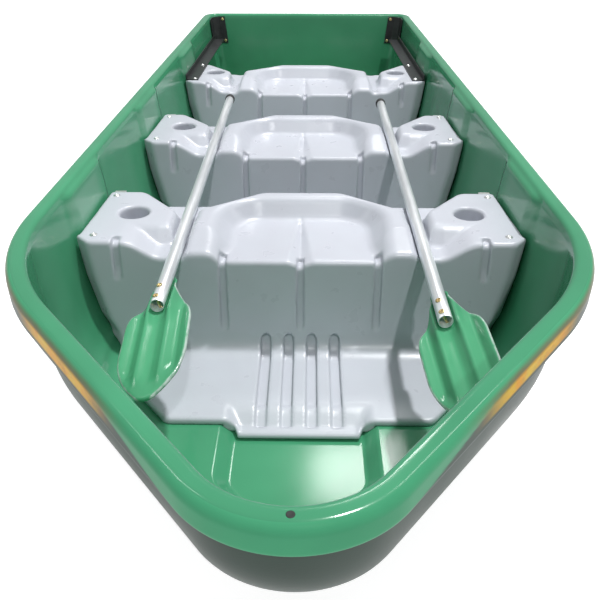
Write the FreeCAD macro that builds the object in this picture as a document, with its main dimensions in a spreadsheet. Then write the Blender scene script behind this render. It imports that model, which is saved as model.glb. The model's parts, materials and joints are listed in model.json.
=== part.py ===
import FreeCAD, Part
import math
import os

from FreeCAD import Placement, Rotation, Vector

# Rowing boat of moulded plastic: an open hull with a rolled rim, three seat mouldings with their floor pans,
# the metal rails and brackets that tie them to the hull, and two loose oars lying in the seats' troughs.
# Millimetres. +Z up, bow towards -Y, port towards +X. The origin is on the ground under the middle of the
# overall length, and the flat keel stands on the ground.

doc = FreeCAD.newDocument("rowing_boat")
sheet = doc.addObject("Spreadsheet::Sheet", "Sizes")

SIZES = [
    # hull in plan, at the outer edge of the rim
    ("overall_length", 3300),
    ("overall_beam", 1180),
    ("overall_depth", 436),
    ("bow_angle", 39.5),            # between the centreline and each bow flank
    ("bow_radius", 192),
    ("shoulder_radius", 580),
    ("side_taper", 1.5),            # the sides close in towards the stern
    ("stern_corner_radius", 75),
    ("wall", 8),
    ("rim_width", 42),
    ("rim_height", 50),
    ("rim_round", 15),
    ("rim_bevel", 6),
    ("painter_hole", 8),
    ("pad_depth", 8),               # pads on the wall beside the seats
    ("pad_drop", 8),                # from the rim's top to the pads' top
    ("pad_height", 170),
    # keel pad below the hull, with a channel of the same shape inside
    ("keel_drop", 24),
    ("keel_half_width", 146),
    ("keel_flare", 30),
    ("keel_bow_gap", 300),          # from the bow to the keel's front end, at its top
    ("keel_stern_gap", 190),
    ("keel_point", 80),             # half width of the keel's front end
    ("keel_shoulder", 150),         # length over which the keel narrows to that end
    # seat mouldings
    ("front_seat_from_bow", 903),
    ("middle_seat_from_bow", 1593),
    ("rear_seat_from_bow", 2328),
    ("seat_top", 332),              # height of the side pods above the ground
    ("seat_depth", 300),
    ("seat_front_draft", 28),
    ("seat_back_draft", 15),
    ("seat_gap", 4),                # between a seat's ends and the hull's pads
    ("pod_gap", 16),                # between a pod's outer edge and the hull's pad, at the seat's back
    ("skin", 6),                    # the skin over the rail notch and at the tongue
    ("floor_gap", 0.3),             # between the mouldings and the hull's floor
    ("flange", 14),                 # thickness of the front wall where it reaches past the pods
    ("corner_cut", 34),             # bevel up the front wall's outer corners
    ("pan_top", 48),
    ("pan_length", 258),
    ("pan_front_half", 292),
    ("pan_root", 18),               # the pan runs this far into the bench
    ("tongue_drop", 22),
    ("tongue_start", 48),           # from the pan's front edge back to the top of the ramp
    ("tongue_ramp", 44),            # run of the ramp
    ("tongue_reach", 23),           # the lip's reach ahead of the pan's front edge
    ("tongue_half_width", 130),
    ("recess_drop", 48),
    ("recess_half_width", 172),     # at the recess's floor
    ("recess_length", 226),         # from the front edge to the back of the recess's floor
    ("recess_corner", 72),
    ("recess_flare", 42),           # the sides' run outwards up to the top
    ("recess_slope", 36),           # the back's run up to the top
    ("lip_drop", 28),               # the recess's sides are this much lower at the front edge
    ("lip_ramp", 85),
    ("gutter_half_width", 36),      # V-shaped gutter along the recess, narrowing backwards
    ("gutter_depth", 12),
    ("gutter_tail", 12),            # the gutter runs this far past the recess's floor
    ("trough_x", 290),
    ("trough_bottom", 290),
    ("trough_radius", 22),
    ("trough_flare", 6),
    ("trough_waist", 177),          # from the front edge to where the trough opens out backwards
    ("waist_half_width", 28),
    ("fan_inner", 153),             # where the trough's opening meets the back edge, from the centreline
    ("fan_outer", 396),
    ("scoop_width", 117),           # sunken front corner of a pod, outwards from the trough's middle
    ("scoop_floor", 45),
    ("scoop_length", 95),
    ("cup_radius", 36),
    ("cup_depth", 65),
    ("cup_back", 165),              # from the seat's front edge to the cup's centre
    ("cup_inset", 82),              # from the pod's outer edge to the cup's centre
    ("groove_radius", 11),
    ("groove_depth", 8),
    ("groove_x", 184),
    ("groove_foot", 100),           # height at which the long wall grooves end
    ("short_groove_foot", 232),
    ("slot_radius", 12),
    ("slot_pitch", 56),
    ("slot_depth", 8),
    ("slot_start", 20),             # from the pan's front edge to the slots' front ends
    ("slot_climb", 34),             # the slots run this far up the wall
    # rails under the outer edges of the front and middle seats
    ("rail_leg", 26),
    ("rail_thickness", 3),
    ("rail_lap", 28),               # how far the rail lies under the seat's skin
    ("rail_tail", 14),              # the rail's end stands out behind the seat
    ("notch_height", 44),
    ("screw_inset", 14),            # from the pod's edge to the screws
    ("screw_end_gap", 34),
    ("screw_radius", 3),
    ("screw_head_radius", 6.5),
    ("screw_crown_radius", 4),
    ("screw_head_height", 3),
    ("screw_tail", 8),              # the screws stand out this far below what they hold
    ("screw_clearance", 0.2),
    # angle irons along the quarters and brackets in the stern corners
    ("iron_leg", 50),               # the level leg
    ("iron_rise", 22),              # the upright leg
    ("iron_thickness", 4),
    ("iron_gap", 0.3),              # between the irons, rails or brackets and what they lie on
    ("iron_bracket_gap", 40),       # between an iron's end and the bracket behind it
    ("bracket_width", 30),
    ("bracket_side", 60),
    ("bracket_height", 126),
    ("bracket_drop", 10),           # below the rim
    ("bracket_edge", 12),           # from a bracket's edge to its bolts
    ("bolt_radius", 4),
    ("bolt_head_radius", 7),
    ("bolt_head_height", 5),
    ("bolt_head_gap", 1),           # between a bolt's level head and the leaning bracket
    ("bolt_end", 3),                # the bolts stand out this far behind the transom
    # oars
    ("starboard_oar_from_bow", 669),
    ("port_oar_from_bow", 618),
    ("starboard_oar_roll", 15),     # the oars lie turned about their shafts, port edge up
    ("port_oar_roll", 28),
    ("shaft_radius", 15),
    ("shaft_wall", 1.6),
    ("shaft_length", 1512),
    ("shaft_lift", 0.3),            # between a shaft and the troughs that it lies in
    ("cap_radius", 18),
    ("cap_length", 24),
    ("cap_end", 4),
    ("cap_gap", 0.1),
    ("cap_room", 1),                # between a cap and any trough that it reaches
    ("blade_half_width", 71),
    ("blade_reach", 235),           # ahead of the shaft's end
    ("blade_lap", 150),             # behind the shaft's end
    ("blade_neck_half", 20),
    ("blade_neck_length", 38),
    ("blade_shoulder", 122),        # length over which the blade widens to its sides
    ("blade_tip_gap", 110),         # from the shaft's end to where the sides close in to the tip
    ("blade_tip_half", 22),
    ("blade_tip_depth", 12),
    ("blade_thickness", 12),
    ("blade_drop", 36),             # the blade's tip bends down by this much
    ("blade_gap", 0.2),             # between the shaft and the blade
    ("flute_radius", 10),
    ("flute_depth", 6),
    ("flute_pitch", 46),
    ("flute_end_gap", 34),          # from the tip to the middle flute's end
    ("blade_screw_inset", 16),      # from the shaft's end to its first screw
    ("blade_screw_pitch", 42),
    ("blade_screw_length", 36),     # from the head to the tip, in the blade
]

for row, (name, value) in enumerate(SIZES, start=1):
    sheet.set(f"A{row}", name)
    sheet.set(f"B{row}", str(value))
    sheet.setAlias(f"B{row}", name)
doc.recompute()


def size(name):
    """The value of a cell of the spreadsheet."""
    return float(sheet.get(name))


# The hull's outer surface, from the rim down to the flat bottom. Columns: height as a share of the side's
# height; how far the side, the bow and the stern stand in from the wall's line at the rim; the bow's radius.
HULL_LEVELS = [
    # share  side  bow  stern  bow_radius
    (1.000, 0, 0, 0, 158),
    (0.747, 12, 10, 10, 170),
    (0.495, 26, 40, 20, 185),
    (0.242, 50, 112, 32, 180),
    (0.104, 78, 168, 50, 170),
    (0.028, 108, 210, 76, 165),
    (0.000, 146, 248, 116, 165),
]

L = size("overall_length")
BOW_Y = -L / 2
STERN_Y = L / 2
HALF_BEAM = size("overall_beam") / 2
RIM_TOP = size("overall_depth")
WALL = size("wall")
WALL_LINE = size("rim_width") - WALL      # from the rim's outer edge in to the wall's outer face
BOTTOM = size("keel_drop")                # height of the hull's flat bottom
FLOOR = BOTTOM + WALL
SIDE_HEIGHT = RIM_TOP - BOTTOM
PHI = math.radians(size("bow_angle"))
TAPER = math.radians(size("side_taper"))
PAD = size("pad_depth")
TOP = size("seat_top")
PAN = size("pan_top")
DEPTH = size("seat_depth")
DRAFT = size("seat_front_draft")
SKIN = size("skin")
TROUGH_X = size("trough_x")
PAST = 1                                  # cutters reach past the faces that they open
AHEAD = size("pan_length") / 4            # and this far ahead of a bench's front edge
UP, AFT, AHEAD_AXIS = Vector(0, 0, 1), Vector(0, 1, 0), Vector(0, -1, 0)


# ---------------------------------------------------------------- helpers


def feature(label, shape):
    """A sub-part of the document whose shape is worked out here."""
    piece = doc.addObject("Part::Feature", label)
    piece.Label = label
    piece.Shape = shape
    return piece


def primitive(kind, label, base, along, **expressions):
    """A primitive of the document, its sizes bound to the spreadsheet."""
    item = doc.addObject(kind, label)
    item.Placement = Placement(base, Rotation(UP, along))
    for name, expression in expressions.items():
        item.setExpression(name, expression)
    return item


def cylinder(label, base, along, radius, height):
    return primitive("Part::Cylinder", label, base, along, Radius=radius, Height=height)


def joined(label, items):
    item = doc.addObject("Part::MultiFuse", label)
    item.Label = label
    item.Shapes = items
    return item


def pierced(label, base, tools):
    """A solid of the document less several others."""
    group = doc.addObject("Part::Compound", f"{label}_holes")
    group.Links = tools
    item = doc.addObject("Part::Cut", label)
    item.Label = label
    item.Base = base
    item.Tool = group
    return item


def screw(label, place, length):
    """A screw that stands upright, the underside of its head at place. Its length is an expression."""
    shank = cylinder(f"{label}_shank", place, -UP, "Sizes.screw_radius", length)
    head = primitive("Part::Cone", f"{label}_head", place, UP, Radius1="Sizes.screw_head_radius",
                     Radius2="Sizes.screw_crown_radius", Height="Sizes.screw_head_height")
    return [shank, head]


def both(shape):
    """A shape and its mirror image across the centreline."""
    return [shape, shape.mirror(Vector(0, 0, 0), Vector(1, 0, 0))]


def polygon(points):
    return Part.makePolygon([Vector(*p) for p in [*points, points[0]]])


def prism(points, direction):
    """A solid from a closed outline of points, pushed along a direction."""
    return Part.Face(polygon(points)).extrude(Vector(*direction))


def ruled(*outlines):
    """A solid through closed outlines of points with as many corners each."""
    return Part.makeLoft([polygon(points) for points in outlines], True, True)


def rod(start, direction, length, radius):
    """A round bar with a rounded start."""
    start = Vector(*start)
    return Part.makeCylinder(radius, length, start, Vector(*direction)).fuse(Part.makeSphere(radius, start))


def line(start, end):
    return Part.LineSegment(Vector(*start), Vector(*end)).toShape()


def tangent_arc(start, heading, end):
    """An arc that leaves start along a heading and ends at end."""
    start, heading, end = Vector(*start), Vector(*heading), Vector(*end)
    chord = end - start
    turn = heading.getAngle(chord)
    side = heading - chord * (heading.dot(chord) / chord.dot(chord))
    middle = start + chord / 2 + side.normalize() * (chord.Length / 2 * math.tan(turn / 2))
    return Part.Arc(start, middle, end).toShape()


def arc(centre, radius, z, start, end):
    """Arc in plan about centre, between two headings measured from the stern's direction, in radians."""
    def at(heading):
        return Vector(centre[0] + radius * math.cos(heading), centre[1] - radius * math.sin(heading), z)
    return Part.Arc(at(start), at((start + end) / 2), at(end)).toShape()


PIECES = []                               # every sub-part that is written out


def add_pair(label, item):
    """Both sides' sub-parts: the port one as drawn, and the starboard one as its mirror image."""
    item.Label = f"{label}_port"
    mirrored = doc.addObject("Part::Mirroring", f"{label}_starboard")
    mirrored.Label = f"{label}_starboard"
    mirrored.Source = item
    mirrored.Normal = Vector(1, 0, 0)
    PIECES.extend([item, mirrored])


# ---------------------------------------------------------------- hull


def flank_and_shoulder(half_beam, bow_y, bow_r, shoulder_r):
    """The start and end of a plan outline's bow flank, its shoulder's centre and its side's start."""
    flank_start = Vector(bow_r * math.cos(PHI), bow_y + bow_r - bow_r * math.sin(PHI), 0)
    shoulder_x = half_beam - shoulder_r
    run = (shoulder_x + shoulder_r * math.cos(PHI) - flank_start.x) / math.sin(PHI)
    flank_end = flank_start + Vector(math.sin(PHI), math.cos(PHI), 0) * run
    centre = Vector(shoulder_x, flank_end.y + shoulder_r * math.sin(PHI), 0)
    side_start = centre + Vector(math.cos(TAPER), math.sin(TAPER), 0) * shoulder_r
    return flank_start, flank_end, centre, side_start


def outline(z, half_beam, bow_y, bow_r, shoulder_r, stern_y, corner_r):
    """Closed plan outline: transom, stern corners, tapering sides, shoulders, flanks and the round bow."""
    lift = UP * z
    flank_start, flank_end, shoulder, side_start = flank_and_shoulder(half_beam, bow_y, bow_r, shoulder_r)
    corner_y = stern_y - corner_r
    corner_x = side_start.x - (corner_y - side_start.y) * math.tan(TAPER) - corner_r / math.cos(TAPER)
    side_end = Vector(corner_x + corner_r * math.cos(TAPER), corner_y + corner_r * math.sin(TAPER), 0)
    half = [
        arc((corner_x, corner_y), corner_r, z, -math.pi / 2, -TAPER),
        line(side_end + lift, side_start + lift),
        arc(shoulder, shoulder_r, z, -TAPER, PHI),
        line(flank_end + lift, flank_start + lift),
    ]
    transom = line((-corner_x, stern_y, z), (corner_x, stern_y, z))
    nose = arc((0, bow_y + bow_r), bow_r, z, PHI, math.pi - PHI)
    return Part.Wire(Part.__sortEdges__([transom, nose, *(side for edge in half for side in both(edge))]))


def rim_outline(z, inset):
    """The rim's outer edge, or a line inside it by inset."""
    return outline(
        z, HALF_BEAM - inset, BOW_Y + inset, size("bow_radius") - inset, size("shoulder_radius") - inset,
        STERN_Y - inset, size("stern_corner_radius") - inset)


def wall_plan(level, inset):
    """What outline() takes for the hull's outer face at a level of the table, or inside it by inset."""
    _, side, bow, stern, bow_r = level
    stand = WALL_LINE + inset
    shoulder_r, corner_r = size("shoulder_radius") - stand - side, size("stern_corner_radius") - stand
    return (HALF_BEAM - stand - side, BOW_Y + stand + bow, bow_r - inset, shoulder_r,
            STERN_Y - stand - stern, corner_r)


def inner_height(level):
    """Where a level of the table lies on the hull's inner face."""
    return BOTTOM + level[0] * SIDE_HEIGHT + WALL * (1 - level[0])


def cavity(clearance):
    """The space inside the hull, less a clearance at the walls. Its flat bottom is the hull's floor."""
    wires = [outline(inner_height(level), *wall_plan(level, WALL + clearance))
             for level in reversed(HULL_LEVELS)]
    return Part.makeLoft(wires, True, True)


def between_levels(z, value):
    """A value of the hull's levels at height z of the inner face, from the two levels around it."""
    for upper, lower in zip(HULL_LEVELS, HULL_LEVELS[1:]):
        high, low = inner_height(upper), inner_height(lower)
        if low <= z <= high:
            return value(lower) + (z - low) / (high - low) * (value(upper) - value(lower))
    raise ValueError(f"height {z} is outside the hull's side")


def inner_half_width(y, z, clearance=0):
    """Half width inside the hull at a place along the straight side, less a clearance."""
    def half_width(level):
        side_start = flank_and_shoulder(*wall_plan(level, WALL + clearance)[:4])[-1]
        return side_start.x - (y - side_start.y) * math.tan(TAPER)
    return between_levels(z, half_width)


def inner_stern(z):
    """Where the transom's inner face is at height z."""
    return between_levels(z, lambda level: wall_plan(level, WALL)[4])


def rim_bead():
    """The rolled rim: a rounded ledge all round the hull with a lip that hangs down outside the wall."""
    low, width = RIM_TOP - size("rim_height"), size("rim_width")
    block = Part.Face(rim_outline(low, 0)).extrude(UP * size("rim_height"))
    top_edges = [e for e in block.Edges if e.BoundBox.ZMin > RIM_TOP - 0.01]
    block = block.makeFillet(size("rim_round"), top_edges)
    below = Part.Face(rim_outline(low - PAST, WALL)).extrude(UP * (size("rim_height") - WALL + PAST))
    inside = Part.Face(rim_outline(low - PAST, width)).extrude(UP * (size("rim_height") + 2 * PAST))
    return block.cut([below, inside])


def keel(inset, top, bottom):
    """The keel pad as a solid, or the channel inside it, which is smaller by inset."""
    half, flare = size("keel_half_width") - inset, size("keel_flare")
    front, back = BOW_Y + size("keel_bow_gap") + inset, STERN_Y - size("keel_stern_gap") - inset
    shoulder, point = front + size("keel_shoulder"), size("keel_point") - inset

    def corners(z, spread, shift):
        port = [(point, front + shift), (half + spread, shoulder + shift), (half + spread, back - shift)]
        return [(x, y, z) for x, y in port] + [(-x, y, z) for x, y in reversed(port)]
    return ruled(corners(bottom, 0, flare), corners(top, flare, 0))


def pads():
    """Shallow pads on the inner wall, one each side of every seat."""
    ring = cavity(-WALL / 2).cut(cavity(PAD))
    height = size("pad_height")
    low = RIM_TOP - size("pad_drop") - height
    bands = [Part.makeBox(2 * L, DEPTH, height, Vector(-L, front_edge(name), low)) for name in SEATS]
    return ring.common(Part.makeCompound(bands))


def hull_shape(bolt_holes):
    outer = Part.makeLoft([outline(BOTTOM + level[0] * SIDE_HEIGHT, *wall_plan(level, 0))
                           for level in reversed(HULL_LEVELS)], True, True)
    body = outer.fuse([rim_bead(), keel(0, BOTTOM + WALL / 2, 0)])
    body = body.cut([cavity(0), keel(WALL, FLOOR + WALL / 2, WALL)])
    width, bevel = size("rim_width"), size("rim_bevel")
    bevel_lines = [rim_outline(RIM_TOP - bevel, width), rim_outline(RIM_TOP + PAST, width - bevel - PAST)]
    bevel_cut = Part.makeLoft(bevel_lines, True, True)
    hole = Part.makeCylinder(size("painter_hole") / 2, size("rim_height"),
                             Vector(0, BOW_Y + width / 2, RIM_TOP - size("rim_height") / 2))
    return body.fuse(pads()).cut([bevel_cut, hole, *bolt_holes]).removeSplitter()


# ---------------------------------------------------------------- seat mouldings


# Name of each seat, and what ties its pods to the hull: rails under the skin, or irons on top.
SEATS = {"front": "rails", "middle": "rails", "rear": "irons"}


def front_edge(name):
    return BOW_Y + size(f"{name}_seat_from_bow")


def pod_edge(front_y):
    """A pod's outer edge, from the centreline."""
    return inner_half_width(front_y + DEPTH, TOP, PAD) - size("pod_gap")


def bench(front_y):
    low, foot, back = FLOOR + size("floor_gap"), front_y - DRAFT, front_y + DEPTH
    profile = [(foot, low), (foot, PAN), (front_y, TOP), (back, TOP), (back + size("seat_back_draft"), low)]
    return prism([(-L, y, z) for y, z in profile], (2 * L, 0, 0))


def pan_edge(front_y):
    return front_y - DRAFT - size("pan_length")


def pan(front_y):
    """The floor pan ahead of the bench, widening backwards with the bow's flanks."""
    edge, back, half = pan_edge(front_y), front_y - DRAFT + size("pan_root"), size("pan_front_half")
    wide, low = half + (back - edge) * math.tan(PHI), FLOOR + size("floor_gap")
    corners = [(-half, edge, low), (half, edge, low), (wide, back, low), (-wide, back, low)]
    return prism(corners, (0, 0, PAN - low))


def tongue(front_y):
    """The middle of the pan's front edge, which steps down into the keel channel, and the space above it."""
    drop, half = size("tongue_drop"), size("tongue_half_width")
    start = pan_edge(front_y) + size("tongue_start")
    foot, tip = start - size("tongue_ramp"), pan_edge(front_y) - size("tongue_reach")
    top = [(start, PAN), (foot, PAN - drop), (tip, PAN - drop)]
    plate = [(-half, y, z) for y, z in top] + [(-half, y, z - SKIN) for y, z in reversed(top)]
    over = [(-half, start, PAN + PAST), *((-half, y, z) for y, z in top), (-half, tip - PAST, PAN - drop),
            (-half, tip - PAST, PAN + PAST)]
    ends = [(start, PAN), (foot, PAN - drop), (tip - PAST, PAN - drop), (tip - PAST, PAN + PAST),
            (start, PAN + PAST)]
    flank = ruled([(half, y, z) for y, z in ends], [(half + drop, y, max(z, PAN)) for y, z in ends])
    return prism(plate, (2 * half, 0, 0)), [prism(over, (2 * half, 0, 0)), *both(flank)]


def recess(front_y):
    """The sitter's place between the troughs, open at the front, with a sloping back and sides."""
    low, corner = TOP - size("recess_drop"), size("recess_corner")

    def arch(z, half, back):
        ahead = front_y - AHEAD
        port = tangent_arc((half, back - corner, z), AFT, (half - corner, back, z))
        side = line((half, ahead, z), (half, back - corner, z))
        edges = [line((-half, ahead, z), (half, ahead, z)), *both(side), *both(port),
                 line((half - corner, back, z), (corner - half, back, z))]
        return Part.Wire(Part.__sortEdges__(edges))
    share = (TOP + PAST - low) / (TOP - low)
    half, back = size("recess_half_width"), front_y + size("recess_length")
    basin = Part.makeLoft([arch(low, half, back), arch(TOP + PAST, half + share * size("recess_flare"),
                                                      back + share * size("recess_slope"))], True, True)
    wide, deep = size("gutter_half_width"), size("gutter_depth")
    tail = back + size("gutter_tail")
    gutter = ruled([(-wide, front_y - AHEAD, low + PAST), (wide, front_y - AHEAD, low + PAST),
                    (0, front_y - AHEAD, low - deep)],
                   [(-PAST, tail, low + deep), (PAST, tail, low + deep), (0, tail, low + deep - PAST)])
    return [basin, gutter]


def lip_ramp(front_y):
    """Lowers the recess's sides towards the front edge."""
    low = TOP - size("lip_drop")
    end, slope = front_y + size("lip_ramp"), size("lip_drop") / size("lip_ramp")
    profile = [(-TROUGH_X, front_y - AHEAD, low - slope * AHEAD), (-TROUGH_X, end + PAST, TOP + slope * PAST),
               (-TROUGH_X, front_y - AHEAD, TOP + slope * PAST)]
    return prism(profile, (2 * TROUGH_X, 0, 0))


def trough(front_y):
    """The fore-and-aft channel that an oar's shaft lies in, which fans out behind its waist."""
    radius, bottom = size("trough_radius"), size("trough_bottom")
    start, high, centre_z = front_y - AHEAD, TOP + PAST, bottom + radius
    spread = radius + size("trough_flare")
    edges = [Part.Arc(Vector(TROUGH_X - radius, start, centre_z), Vector(TROUGH_X, start, bottom),
                      Vector(TROUGH_X + radius, start, centre_z)).toShape(),
             line((TROUGH_X + radius, start, centre_z), (TROUGH_X + spread, start, high)),
             line((TROUGH_X + spread, start, high), (TROUGH_X - spread, start, high)),
             line((TROUGH_X - spread, start, high), (TROUGH_X - radius, start, centre_z))]
    channel = Part.Face(Part.Wire(edges)).extrude(AFT * (DEPTH + 2 * AHEAD))
    waist, half = front_y + size("trough_waist"), size("waist_half_width")
    back = front_y + DEPTH + size("seat_back_draft")

    def fan(z, out):
        return [(TROUGH_X - half - out, waist, z), (TROUGH_X + half + out, waist, z),
                (size("fan_outer") + out, back, z), (size("fan_inner") - out, back, z)]
    return [channel, ruled(fan(bottom, 0), fan(high, size("trough_flare")))]


def scoop(front_y):
    """The sunken front corner of a pod, sloping down to the trough."""
    near, ahead, floor = TROUGH_X - size("trough_radius"), front_y - AHEAD, size("scoop_floor")
    length, wide, drop = size("scoop_length"), size("scoop_width"), TOP + PAST - size("trough_bottom")
    lower = [(near, ahead), (TROUGH_X + floor, ahead), (TROUGH_X + floor, front_y + length - drop),
             (near, front_y + length - drop)]
    upper = [(near, ahead), (TROUGH_X + wide, ahead), (TROUGH_X + wide, front_y + length),
             (near, front_y + length + drop / 2)]
    return ruled([(x, y, size("trough_bottom")) for x, y in lower], [(x, y, TOP + PAST) for x, y in upper])


def cap_room(side):
    """The room around an oar's cap, which opens any trough that the cap reaches."""
    room, start = size("cap_room"), BOW_Y + size(f"{side}_oar_from_bow")
    end = start + size("shaft_length") + size("cap_end") + room
    x = TROUGH_X if side == "port" else -TROUGH_X
    centre = Vector(x, end, size("trough_bottom") + size("shaft_lift") + size("shaft_radius"))
    return Part.makeCylinder(size("cap_radius") + room, size("cap_length") + 2 * room, centre, AHEAD_AXIS)


def wall_groove(front_y, x, foot_z):
    """A groove up the bench's front wall."""
    lean = DRAFT / (TOP - PAN)
    radius = size("groove_radius")
    start = (x, front_y - (TOP - foot_z) * lean + size("groove_depth") - radius, foot_z)
    return rod(start, (0, lean, 1), TOP - foot_z + AHEAD, radius)


def pan_slot(front_y, x):
    """A drain slot along the pan that turns up the foot of the bench's front wall."""
    radius, depth = size("slot_radius"), size("slot_depth")
    z = PAN - depth + radius
    start, back = pan_edge(front_y) + size("slot_start") + radius, front_y - DRAFT - radius + depth / 2
    along = rod((x, start, z), AFT, back - start, radius)
    return along.fuse(rod((x, back, z + size("slot_climb")), -UP, size("slot_climb"), radius))


def notch(front_y):
    """The room for a rail below the skin at a pod's outer edge, open to the side."""
    half, low = pod_edge(front_y), TOP - size("notch_height")
    inner, start = half - size("rail_lap") - size("rail_thickness"), front_y + size("flange")
    below = Part.makeBox(L, 2 * DEPTH, TOP - SKIN - low, Vector(inner, start, low))
    return below.fuse(Part.makeBox(L, 2 * DEPTH, TOP + PAST - low, Vector(half, start, low)))


def corner_bevel(front_y):
    """Bevels the outer corner of the front wall, following the hull's side down to the pan."""
    lean, width = DRAFT / (TOP - PAN), size("corner_cut")
    heights = [PAN, *(h for h in sorted(map(inner_height, HULL_LEVELS)) if PAN < h < TOP), TOP + PAST]

    def corner(z):
        x = inner_half_width(front_y, z, PAD + size("seat_gap")) + PAST
        y = front_y - (TOP - z) * lean - PAST
        return [(x - width, y, z), (x + width, y, z), (x, y + width, z)]
    return ruled(*(corner(z) for z in heights))


def screw_places(front_y):
    """Where the screws at a pod's outer edge stand, in plan."""
    x = pod_edge(front_y) - size("screw_inset")
    return [(x, front_y + size("screw_end_gap")), (x, front_y + DEPTH - size("screw_end_gap"))]


def seat_shape(front_y):
    """One moulding: a bench with its pods, troughs and cups, and the floor pan ahead of it."""
    plate, over_tongue = tongue(front_y)
    body = bench(front_y).fuse(pan(front_y)).common(cavity(PAD + size("seat_gap")))
    body = body.cut(over_tongue).fuse(plate)
    cup_x = pod_edge(front_y) - size("cup_inset")
    cup = Part.makeCylinder(size("cup_radius"), 2 * size("cup_depth"),
                            Vector(cup_x, front_y + size("cup_back"), TOP - size("cup_depth")))
    cuts = [*recess(front_y), lip_ramp(front_y), wall_groove(front_y, 0, size("groove_foot"))]
    port = [*trough(front_y), scoop(front_y), notch(front_y), corner_bevel(front_y), cup]
    port.append(wall_groove(front_y, size("groove_x"), size("groove_foot")))
    port.append(wall_groove(front_y, cup_x, size("short_groove_foot")))
    for steps in (0.5, 1.5):
        port.append(pan_slot(front_y, steps * size("slot_pitch")))
    hole_radius, hole_length = size("screw_radius") + size("screw_clearance"), size("notch_height")
    for x, y in screw_places(front_y):
        port.append(Part.makeCylinder(hole_radius, hole_length + PAST, Vector(x, y, TOP - hole_length)))
    for cutter in port:
        cuts += both(cutter)
    cuts += [cap_room(side) for side in ("starboard", "port")]
    for cutter in cuts:
        body = body.cut(cutter)
    return body.removeSplitter()


# ---------------------------------------------------------------- rails, irons, brackets and their fastenings


def rail(name):
    """An angle strip beside the hull's pad, whose level leg carries the outer edge of a pod."""
    front_y, gap, thick = front_edge(name), size("iron_gap"), size("rail_thickness")
    high = TOP - SKIN - gap
    start, inner = front_y + size("flange") + gap, pod_edge(front_y) - size("rail_lap")
    outer = inner_half_width(front_y + DEPTH + size("rail_tail"), high - size("rail_leg"), PAD) - gap
    length = "Sizes.seat_depth + Sizes.rail_tail - Sizes.flange - Sizes.iron_gap"
    level = primitive("Part::Box", f"{name}_rail_level", Vector(inner, start, high - thick), UP,
                      Length=str(outer - inner), Width=length, Height="Sizes.rail_thickness")
    foot = Vector(outer - thick, start, high - size("rail_leg"))
    upright = primitive("Part::Box", f"{name}_rail_upright", foot, UP,
                        Length="Sizes.rail_thickness", Width=length, Height="Sizes.rail_leg")
    return joined(f"{name}_rail_angle", [level, upright])


def iron(name):
    """An angle iron along the quarter, on top of the rear seat's pod and against the hull's side."""
    front_y, leg, thick, gap = front_edge(name), size("iron_leg"), size("iron_thickness"), size("iron_gap")
    rise = size("iron_rise")
    low = TOP + gap
    end = inner_stern(TOP) - size("bracket_side") - size("iron_bracket_gap")

    def section(y):
        x = inner_half_width(y, low, PAD) - gap
        return [(x - leg, y, low), (x, y, low), (x, y, low + rise), (x - thick, y, low + rise),
                (x - thick, y, low + thick), (x - leg, y, low + thick)]
    return feature(f"{name}_iron_angle", ruled(section(front_y + leg / 2), section(end)))


def bracket_shape():
    """A corner plate inside the stern corner: on the transom, across the corner and along the side."""
    thick, gap = size("iron_thickness"), size("iron_gap")
    width, side = size("bracket_width"), size("bracket_side")
    turn = size("stern_corner_radius") - size("rim_width")
    high = RIM_TOP - size("bracket_drop")

    def plan(z):
        back = inner_stern(z) - gap
        x = inner_half_width(back - side, z) - gap - side * math.tan(TAPER)
        end = back - side - turn
        return [(x - turn - width, back, z), (x - turn, back, z), (x, back - turn, z), (x, end, z),
                (x - thick, end, z), (x - thick, back - turn, z), (x - turn, back - thick, z),
                (x - turn - width, back - thick, z)]
    return ruled(plan(high - size("bracket_height")), plan(high))


def bolt_places():
    """The bracket's bolts, at the transom's inner face."""
    edge, high = size("bracket_edge"), RIM_TOP - size("bracket_drop")
    turn = size("stern_corner_radius") - size("rim_width")
    inset = size("iron_gap") + turn + size("bracket_width") - edge
    heights = high - edge, high - size("bracket_height") + edge
    return [Vector(inner_half_width(inner_stern(z), z) - inset, inner_stern(z), z) for z in heights]


def bolt(label, place):
    """A bolt through a bracket and the transom, its head inside the boat."""
    face = place - AFT * (size("iron_gap") + size("iron_thickness") + size("bolt_head_gap"))
    head = cylinder(f"{label}_head", face, AHEAD_AXIS, "Sizes.bolt_head_radius", "Sizes.bolt_head_height")
    length = "Sizes.bolt_head_gap + Sizes.iron_thickness + Sizes.iron_gap + Sizes.wall + Sizes.bolt_end"
    return [head, cylinder(f"{label}_shank", face, AFT, "Sizes.bolt_radius", length)]


# ---------------------------------------------------------------- oars
# An oar is drawn along +Y from its shaft's forward end, at the origin, with its blade level below the shaft.


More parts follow.
